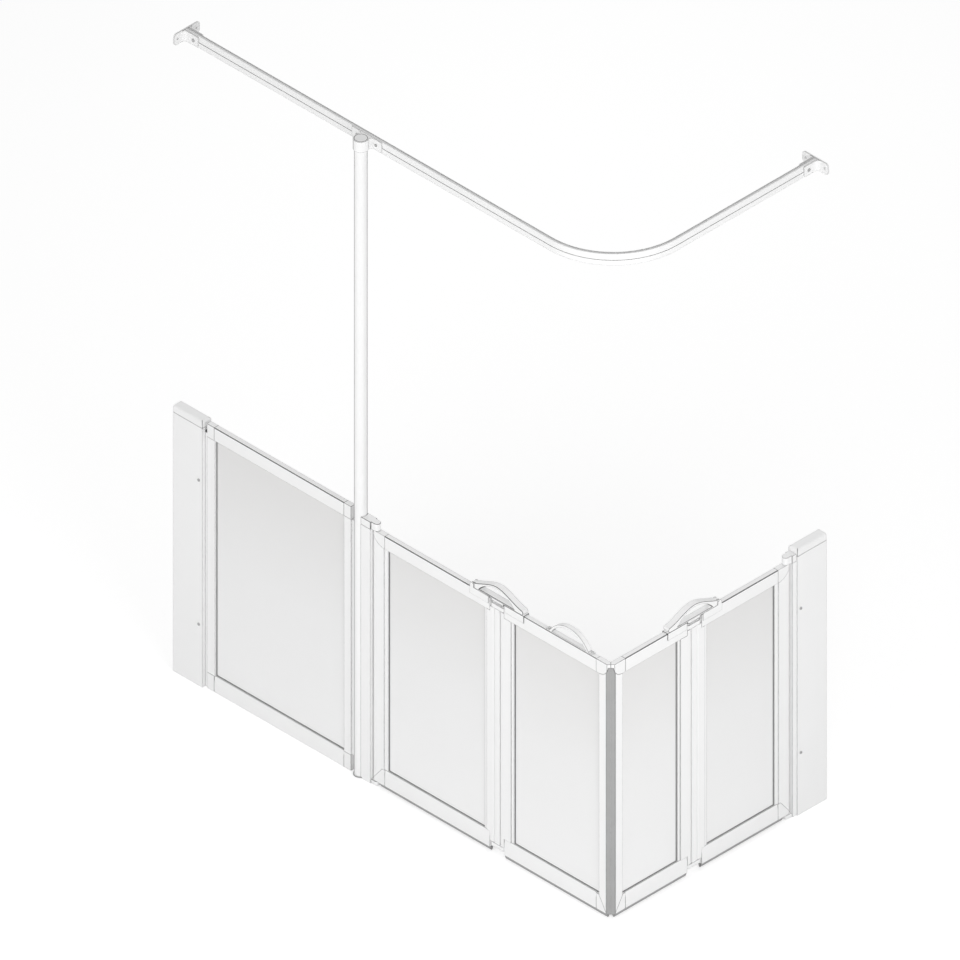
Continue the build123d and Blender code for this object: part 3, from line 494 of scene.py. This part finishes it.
# The tube gets painted shade round its rim where it turns from the camera.
WHITE_TUBE = Coating("white_coated_tube", Slot.WHITE_FRAME, grey(0.92), grey(0.89), grey(0.10),
                     rim=0.75)
WHITE_MOULDING = Coating("white_moulding", Slot.WHITE_PLASTIC, grey(0.92), grey(0.88), grey(0.09),
                         mottle_scale=18.0,
                         texture=Texture(scale=1500.0, smoothest=0.2, roughest=0.3, relief=0.03))
SEAL_RUBBER = Coating("grey_seal_rubber", Slot.GREY_SEAL, grey(0.40), grey(0.33), grey(0.10),
                      mottle_scale=30.0,
                      texture=Texture(scale=2200.0, smoothest=0.5, roughest=0.65, relief=0.12))
GASKET_RUBBER = Coating("dark_gasket_rubber", Slot.GREY_SEAL, grey(0.19), grey(0.14), grey(0.08),
                        mottle_scale=40.0,
                        texture=Texture(scale=2200.0, smoothest=0.5, roughest=0.65, relief=0.1))
SCREW_STEEL = Coating("brushed_screw_steel", Slot.STEEL, grey(0.62), grey(0.5), grey(0.25),
                      mottle_scale=400.0, stretch=(1.0, 1.0, 0.05), metallic=1.0,
                      texture=Texture(scale=1200.0, smoothest=0.22, roughest=0.38, relief=0.08))
CHANNEL_METAL = Coating("mill_aluminium", Slot.CHANNEL_METAL, grey(0.72), grey(0.62), grey(0.35),
                        mottle_scale=60.0, stretch=(1.0, 1.0, 0.04), metallic=1.0,
                        texture=Texture(scale=700.0, smoothest=0.3, roughest=0.45, relief=0.08))
PANE = Glazing()


@dataclass(frozen=True)
class ScrewHead:
    """How the head of a screw is known and finished, with a sloping recess sunk in it.

    A face is a head if it has more than plain_corners corners and more than least_area.
    """

    plain_corners: int = 8
    least_area: float = 5e-5
    rim: float = 0.0022
    recess: float = 0.0010
    steepness: float = 3.0
    edge: float = 0.0005


SCREW_HEAD = ScrewHead()


class Bench:
    """Small steps of modelling by hand, which every sub-assembly uses."""

    bevel_width = 0.0023
    least_area = 1e-9
    least_length = 0.01
    square_on = 0.99

    @staticmethod
    def pick(piece: bpy.types.Object) -> None:
        """Select one piece alone and make it the active one.

        Args:
            piece: The piece.
        """
        bpy.ops.object.select_all(action="DESELECT")
        piece.select_set(True)
        bpy.context.view_layer.objects.active = piece

    @classmethod
    def copy_of(cls, node: str, name: str) -> bpy.types.Object:
        """Copy a CAD node with its loose triangles merged into clean faces.

        Args:
            node: The node to copy.
            name: The new piece's name.

        Returns:
            The copy, which rides on nothing yet.
        """
        piece = frame["nodes"][node].copy()
        piece.data = piece.data.copy()
        piece.parent = None
        piece.name = name
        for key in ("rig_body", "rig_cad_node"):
            del piece[key]
        bpy.context.scene.collection.objects.link(piece)
        cls.pick(piece)
        bpy.ops.object.mode_set(mode="EDIT")
        bpy.ops.mesh.select_all(action="SELECT")
        bpy.ops.mesh.remove_doubles(threshold=MERGE)
        bpy.ops.mesh.dissolve_limited(angle_limit=FLAT_ANGLE)
        bpy.ops.object.mode_set(mode="OBJECT")
        return piece

    @classmethod
    def narrow_bevels(cls, piece: bpy.types.Object) -> list[int]:
        """Find the narrow faces that break a piece's long edges.

        Args:
            piece: The piece.

        Returns:
            The index of each face that is under bevel_width wide and lies between two sharp
            edges, except one under least_area or shorter than least_length.
        """
        mesh = piece.data
        beside: dict[tuple[int, int], list[int]] = {}
        for face in mesh.polygons:
            for key in face.edge_keys:
                beside.setdefault(key, []).append(face.index)
        found = []
        for face in mesh.polygons:
            lengths = {key: (mesh.vertices[key[0]].co - mesh.vertices[key[1]].co).length
                       for key in face.edge_keys}
            longest = max(lengths.values())
            narrow = cls.least_area <= face.area <= cls.bevel_width * longest
            if not narrow or longest < cls.least_length:
                continue
            angles = [face.normal.angle(mesh.polygons[other].normal, 0.0)
                      for key, length in lengths.items() if length > longest / 2
                      for other in beside[key] if other != face.index]
            if angles and min(angles) > SHARP_ANGLE:
                found.append(face.index)
        return found

    @classmethod
    def ease(cls, piece: bpy.types.Object, width: float, segments: int = 2) -> None:
        """Round a piece's sharp edges, mark what is rounded and keep its flat faces flat.

        The marks feed the painted shade along edges. They are kept as a second material slot until
        the rounding is made, because the rounding can put its own faces in one.

        Args:
            piece: The piece to finish.
            width: Width of the rounding.
            segments: Faces across the rounding.
        """
        cls.pick(piece)
        piece.data.materials.clear()
        for _ in range(2):
            piece.data.materials.append(None)
        piece.data.polygons.foreach_set("material_index", [0] * len(piece.data.polygons))
        for index in cls.narrow_bevels(piece):
            piece.data.polygons[index].material_index = 1
        rounding = piece.modifiers.new("eased_edges", "BEVEL")
        rounding.width = width
        rounding.segments = segments
        rounding.limit_method = "ANGLE"
        rounding.angle_limit = SHARP_ANGLE
        rounding.material = 1
        bpy.ops.object.modifier_apply(modifier=rounding.name)
        # These faces get the painted shade along edges.
        shade_mask = piece.data.attributes.new(EDGE_SHADE_MASK, "FLOAT", "FACE")
        for face in piece.data.polygons:
            shade_mask.data[face.index].value = float(face.material_index)
            face.material_index = 0
        piece.data.materials.clear()
        bpy.ops.object.shade_smooth_by_angle(angle=SHARP_ANGLE)
        flatness = piece.modifiers.new("flat_faces", "WEIGHTED_NORMAL")
        flatness.keep_sharp = True
        bpy.ops.object.modifier_apply(modifier=flatness.name)

    @classmethod
    def recess_heads(cls, piece: bpy.types.Object, head: ScrewHead) -> None:
        """Sink a round recess in each of a piece's screw heads.

        Args:
            piece: The piece, not eased yet.
            head: How a head is known and finished.
        """
        cls.edit_faces(piece, lambda face: len(face.vertices) > head.plain_corners
                       and face.area > head.least_area)
        bpy.ops.mesh.inset(thickness=head.rim)
        bpy.ops.mesh.inset(thickness=head.recess / head.steepness, depth=-head.recess)
        bpy.ops.object.mode_set(mode="OBJECT")

    @classmethod
    def edit_faces(cls, piece: bpy.types.Object,
                   wanted: Callable[[bpy.types.MeshPolygon], bool]) -> None:
        """Open a piece in edit mode with the wanted faces selected alone.

        Args:
            piece: The piece.
            wanted: Says whether a face is wanted.
        """
        cls.pick(piece)
        bpy.ops.object.mode_set(mode="EDIT")
        bpy.ops.mesh.select_mode(type="FACE")
        bpy.ops.mesh.select_all(action="DESELECT")
        bpy.ops.object.mode_set(mode="OBJECT")
        for face in piece.data.polygons:
            face.select = wanted(face)
        bpy.ops.object.mode_set(mode="EDIT")

    @classmethod
    def box(cls, name: str, run: Run, low: Place, high: Place) -> bpy.types.Object:
        """Add a box between two corners on a run, to be shaped further.

        Args:
            name: The piece's name.
            run: The run it is on.
            low: Place, depth and height of one corner.
            high: Place, depth and height of the other.

        Returns:
            The box, at the origin with its place in its mesh.
        """
        centre = run.point(*((a + b) / 2 for a, b in zip(low, high)))
        sides = run.spread(*(b - a for a, b in zip(low, high)))
        bpy.ops.object.select_all(action="DESELECT")
        bpy.ops.mesh.primitive_cube_add(size=1, location=centre, scale=sides)
        piece = bpy.context.object
        piece.name = name
        bpy.ops.object.transform_apply(location=True, rotation=True, scale=True)
        return piece

    @classmethod
    def frame_ring(cls, name: str, run: Run, low: Place, high: Place,
                   width: float) -> bpy.types.Object:
        """Make a rectangular ring, as a gasket, that stands in the plane of a run.

        Args:
            name: The piece's name.
            run: The run it is on.
            low: Place, depth and height of one outer corner.
            high: Place, depth and height of the other.
            width: Width of the ring's sides.

        Returns:
            The ring.
        """
        piece = cls.box(name, run, low, high)
        cls.edit_faces(piece, lambda face: abs(face.normal.dot(run.inward)) > cls.square_on)
        bpy.ops.mesh.inset(thickness=width)
        bpy.ops.mesh.bridge_edge_loops()
        bpy.ops.mesh.select_all(action="SELECT")
        bpy.ops.mesh.normals_make_consistent(inside=False)
        bpy.ops.object.mode_set(mode="OBJECT")
        return piece

    @staticmethod
    def hand_over(piece: bpy.types.Object, finish: Finish, body: str, *nodes: str) -> None:
        """Dress a finished piece and hang it on its body.

        Args:
            piece: The piece.
            finish: Its finish.
            body: The CAD body it moves with.
            nodes: The CAD nodes it stands for.
        """
        piece.data.name = piece.name
        piece.data.materials.clear()
        piece.data.materials.append(finish.material())
        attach(piece, body)
        if nodes:
            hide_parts(*nodes)
        log.info("%s: %d faces on %s", piece.name, len(piece.data.polygons), body)


@dataclass
class SubAssembly:
    """Pieces that belong together and share their edge sizes."""

    edge: float = 0.0012
    segments: int = 2

    def eased(self, node: str, finish: Finish, edge: float | None = None,
              segments: int | None = None) -> None:
        """Put an eased piece in the place of a CAD node.

        Args:
            node: The node that the piece stands for.
            finish: Its finish.
            edge: Width of its roundings, or the sub-assembly's own.
            segments: Faces across them, or the sub-assembly's own.
        """
        body = frame["nodes"][node]["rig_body"]
        piece = Bench.copy_of(node, f"{node}_eased")
        Bench.ease(piece, edge or self.edge, segments or self.segments)
        Bench.hand_over(piece, finish, body, node)

    def screws(self, node: str) -> None:
        """Put eased screws with recessed heads in the place of a CAD node.

        Args:
            node: The node that the screws stand for.
        """
        body = frame["nodes"][node]["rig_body"]
        piece = Bench.copy_of(node, f"{node}_recessed")
        Bench.recess_heads(piece, SCREW_HEAD)
        Bench.ease(piece, SCREW_HEAD.edge, self.segments)
        Bench.hand_over(piece, SCREW_STEEL, body, node)

    def kept(self, node: str, finish: Finish) -> None:
        """Keep a CAD node as it is, in its finish.

        Args:
            node: The node.
            finish: Its finish.
        """
        shown = frame["nodes"][node]
        shown.data.materials.clear()
        shown.data.materials.append(finish.material())
        log.info("%s: kept in %s", node, finish.name)


@dataclass
class WallPost(SubAssembly):
    """Hollow post on a wall, its rounded cap and the channel hidden inside it."""

    run: Run = Run.LEFT

    def build(self) -> None:
        """Dress the post, its cap and its channel."""
        side = self.run.value
        self.eased(f"wall_post_{side}", WHITE_COAT)
        self.eased(f"wall_cap_{side}", WHITE_MOULDING)
        self.kept(f"wall_channel_{side}", CHANNEL_METAL)


@dataclass
class PaneTrim:
    """Thin grey gasket round a pane, on both of its faces."""

    width: float = 0.0028
    thickness: float = 0.0012
    tuck: float = 0.0006
    edge: float = 0.0003

    def build(self, name: str, run: Run, body: str, near: float, far: float, foot: float,
              top: float) -> None:
        """Fit a gasket to each face of a pane.

        Args:
            name: The frame's name.
            run: The run it is on.
            body: The body it moves with.
            near: Place of the opening's near edge.
            far: Place of its far edge.
            foot: Height of its lower edge.
            top: Height of its upper edge.
        """
        for face, sense in (("outer", -1), ("inner", 1)):
            glass = FRAME_DEPTH / 2 + sense * PANE_THICKNESS / 2
            lips = sorted((glass, glass + sense * self.thickness))
            ring = Bench.frame_ring(f"{name}_{face}_gasket", run,
                                    (near - self.tuck, lips[0], foot - self.tuck),
                                    (far + self.tuck, lips[1], top + self.tuck),
                                    self.width + self.tuck)
            Bench.ease(ring, self.edge)
            Bench.hand_over(ring, GASKET_RUBBER, body)


@dataclass
class FixedPanel(SubAssembly):
    """Glazed panel between the left wall post and the pole."""

    near: float = 1.0494
    far: float = 1.5574
    foot: float = 0.054
    top: float = 0.856
    trim: PaneTrim = field(default_factory=PaneTrim)

    def build(self) -> None:
        """Dress the frame and its pane and fit the gaskets."""
        for part, finish in (("stiles", WHITE_COAT), ("rails", WHITE_COAT),
                             ("corner_blocks", WHITE_MOULDING), ("pane", PANE)):
            self.eased(f"panel_{part}", finish)
        self.trim.build("panel", Run.LEFT, "root", self.near, self.far, self.foot, self.top)


@dataclass
class Leaf(SubAssembly):
    """Folding leaf: frame, pane, gaskets and the wiper under it."""

    name: str = "leaf_a"
    run: Run = Run.LEFT
    at_corner: bool = False
    near: float = 0.4984
    far: float = 0.8784
    foot: float = 0.068
    top: float = 0.821
    trim: PaneTrim = field(default_factory=PaneTrim)

    def build(self) -> None:
        """Dress the frame, its pane and its seals and fit the gaskets."""
        for part, finish in (("stiles", WHITE_COAT), ("top_rail", WHITE_COAT),
                             ("bottom_rail", WHITE_COAT), ("corner_blocks", WHITE_MOULDING),
                             ("pane", PANE)):
            self.eased(f"{self.name}_{part}", finish)
        if self.at_corner:
            self.kept(f"{self.name}_seals", SEAL_RUBBER)
        else:
            self.eased(f"{self.name}_wiper_seal", SEAL_RUBBER)
        self.trim.build(self.name, self.run, self.name, self.near, self.far, self.foot, self.top)


@dataclass
class Fold(SubAssembly):
    """Spine between two leaves with its links, and the long handle over them."""

    run: Run = Run.LEFT
    link_round: float = 0.0007
    grip_round: float = 0.003
    grip_segments: int = 4

    def build(self) -> None:
        """Dress the spine, the links, the handle and what carries it."""
        side = self.run.value
        self.eased(f"spine_{side}", WHITE_COAT)
        self.eased(f"fold_links_{side}", WHITE_MOULDING, self.link_round)
        self.eased(f"long_handle_{side}", WHITE_MOULDING, self.grip_round, self.grip_segments)
        self.eased(f"handle_foot_{side}", WHITE_MOULDING)
        self.eased(f"handle_keeper_{side}", WHITE_MOULDING)


@dataclass
class HingePost(SubAssembly):
    """Post that a pair of leaves hangs on, with its cap and its foot bearing."""

    run: Run = Run.LEFT

    def build(self) -> None:
        """Dress the post and its bearings."""
        side = self.run.value
        self.eased(f"hinge_post_{side}", WHITE_COAT)
        self.eased(f"hinge_bearings_{side}", WHITE_MOULDING)


@dataclass
class ShortHandle(SubAssembly):
    """Fixed handle on the left corner leaf, with its two screws."""

    grip_round: float = 0.0024
    grip_segments: int = 3

    def build(self) -> None:
        """Dress the handle and its screws."""
        self.eased("short_handle", WHITE_MOULDING, self.grip_round, self.grip_segments)
        self.screws("short_handle_screws")


@dataclass
class Pole(SubAssembly):
    """Pole from the floor to the curtain rail, with its foot, cap and clamp."""

    cap_round: float = 0.0016

    def build(self) -> None:
        """Dress the pole and what is on it."""
        self.eased("pole", WHITE_TUBE)
        self.eased("pole_foot", WHITE_MOULDING)
        self.eased("pole_cap", WHITE_MOULDING, self.cap_round)
        self.eased("pole_clamp", WHITE_TUBE)


@dataclass
class CurtainRail(SubAssembly):
    """Bent rail and its wall brackets, with every screw and pin of the screen but the handle's."""

    rail_round: float = 0.0006

    def build(self) -> None:
        """Dress the rail, its brackets, the screws and the door pins."""
        self.eased("curtain_rail", WHITE_COAT, self.rail_round)
        for run in Run:
            self.eased(f"rail_bracket_{run.value}", WHITE_COAT)
        self.screws("rail_screws")
        self.screws("post_screws")
        self.kept("door_pins", SCREW_STEEL)


@dataclass(frozen=True)
class Lamp:
    """Soft square lamp: its place, its side and its power in watts."""

    name: str
    place: Place
    size: float
    power: float

    def hang(self, aim: Vector) -> None:
        """Hang the lamp so that it looks at a point.

        Args:
            aim: The point.
        """
        light = bpy.data.lights.new(self.name, "AREA")
        light.size = self.size
        light.energy = self.power
        lamp = bpy.data.objects.new(self.name, light)
        lamp.location = self.place
        lamp.rotation_euler = (Vector(self.place) - aim).to_track_quat("Z", "Y").to_euler()
        bpy.context.scene.collection.objects.link(lamp)


@dataclass
class Studio:
    """Camera at the drawing's angle, white floor and plain soft light."""

    aim: Vector = field(default_factory=lambda: Vector((0.33285, -0.41325, 1.2448)))
    azimuth: float = math.radians(-45)
    elevation: float = math.radians(35.264)
    distance: float = 9.0
    view_width: float = 2.6706
    floor_size: float = 60.0
    floor_tone: float = 0.80
    floor_glow: float = 0.41
    world_light: float = 0.58
    world_glow: float = 0.42
    lamps: tuple[Lamp, ...] = (Lamp("key_lamp", (4.0, -1.4, 2.2), 3.2, 70.0),
                               Lamp("fill_lamp", (-0.2, -4.6, 1.9), 3.0, 58.0),
                               Lamp("back_lamp", (-2.6, 3.0, 3.6), 3.0, 22.0))

    def build(self) -> None:
        """Set up the camera, the floor, the world and the lamps."""
        self._camera()
        self._floor()
        self._world()
        for lamp in self.lamps:
            lamp.hang(self.aim)
        bpy.context.scene.view_settings.view_transform = "Standard"

    def _camera(self) -> None:
        """Add the camera, which looks in parallel lines."""
        flat = math.cos(self.elevation)
        way = Vector((flat * math.cos(self.azimuth), flat * math.sin(self.azimuth),
                      math.sin(self.elevation)))
        lens = bpy.data.cameras.new("drawing_camera")
        lens.type = "ORTHO"
        lens.ortho_scale = self.view_width
        camera = bpy.data.objects.new("drawing_camera", lens)
        camera.location = self.aim + self.distance * way
        camera.rotation_euler = way.to_track_quat("Z", "Y").to_euler()
        bpy.context.scene.collection.objects.link(camera)
        bpy.context.scene.camera = camera

    def _floor(self) -> None:
        """Add the floor, which shows white and keeps the screen's shadow."""
        bpy.ops.object.select_all(action="DESELECT")
        bpy.ops.mesh.primitive_plane_add(size=self.floor_size)
        floor = bpy.context.object
        floor.name = "studio_floor"
        paint = bpy.data.materials.new("studio_floor_paint")
        paint.use_nodes = True
        nodes, links = paint.node_tree.nodes, paint.node_tree.links
        nodes.remove(nodes["Principled BSDF"])
        matt = nodes.new("ShaderNodeBsdfDiffuse")
        matt.inputs["Color"].default_value = grey(self.floor_tone)
        glow = nodes.new("ShaderNodeEmission")
        links.new(self._seen(nodes, links, self.floor_glow), glow.inputs["Strength"])
        both = nodes.new("ShaderNodeAddShader")
        links.new(matt.outputs["BSDF"], both.inputs[0])
        links.new(glow.outputs["Emission"], both.inputs[1])
        links.new(both.outputs["Shader"], nodes["Material Output"].inputs["Surface"])
        floor.data.materials.append(paint)

    def _world(self) -> None:
        """Light the scene evenly and show white behind it."""
        world = bpy.data.worlds.new("studio_world")
        bpy.context.scene.world = world
        world.use_nodes = True
        nodes, links = world.node_tree.nodes, world.node_tree.links
        shown = self._seen(nodes, links, self.world_glow)
        level = nodes.new("ShaderNodeMath")
        level.operation = "ADD"
        level.inputs[1].default_value = self.world_light
        links.new(shown, level.inputs[0])
        links.new(level.outputs[0], nodes["Background"].inputs["Strength"])
        nodes["Background"].inputs["Color"].default_value = grey(1.0)

    @staticmethod
    def _seen(nodes: bpy.types.Nodes, links: bpy.types.NodeLinks,
              strength: float) -> bpy.types.NodeSocket:
        """Give a strength that counts only where the camera sees, straight, by gloss or glass.

        Args:
            nodes: The tree's nodes.
            links: The tree's links.
            strength: The strength where it counts.

        Returns:
            The socket that carries it.
        """
        path = nodes.new("ShaderNodeLightPath")
        seen = path.outputs["Is Camera Ray"]
        for way in ("Is Glossy Ray", "Is Transmission Ray"):
            either = nodes.new("ShaderNodeMath")
            either.operation = "MAXIMUM"
            links.new(seen, either.inputs[0])
            links.new(path.outputs[way], either.inputs[1])
            seen = either.outputs[0]
        scaled = nodes.new("ShaderNodeMath")
        scaled.operation = "MULTIPLY"
        scaled.inputs[1].default_value = strength
        links.new(seen, scaled.inputs[0])
        return scaled.outputs[0]


def main() -> None:
    """Build the looks of the screen."""
    logging.basicConfig(level=logging.INFO, format="%(name)s: %(message)s")
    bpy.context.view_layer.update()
    Studio().build()
    for run in Run:
        WallPost(run=run).build()
        HingePost(run=run).build()
    FixedPanel().build()
    Pole().build()
    CurtainRail().build()
    Leaf(name="leaf_a", run=Run.LEFT).build()
    Leaf(name="leaf_b", run=Run.LEFT, at_corner=True, near=0.0464, far=0.3834).build()
    Leaf(name="leaf_c", run=Run.RIGHT, at_corner=True, near=0.0464, far=0.265).build()
    Leaf(name="leaf_d", run=Run.RIGHT, near=0.380, far=0.647).build()
    for run in Run:
        Fold(run=run).build()
    ShortHandle().build()


if __name__ == "__main__":
    main()
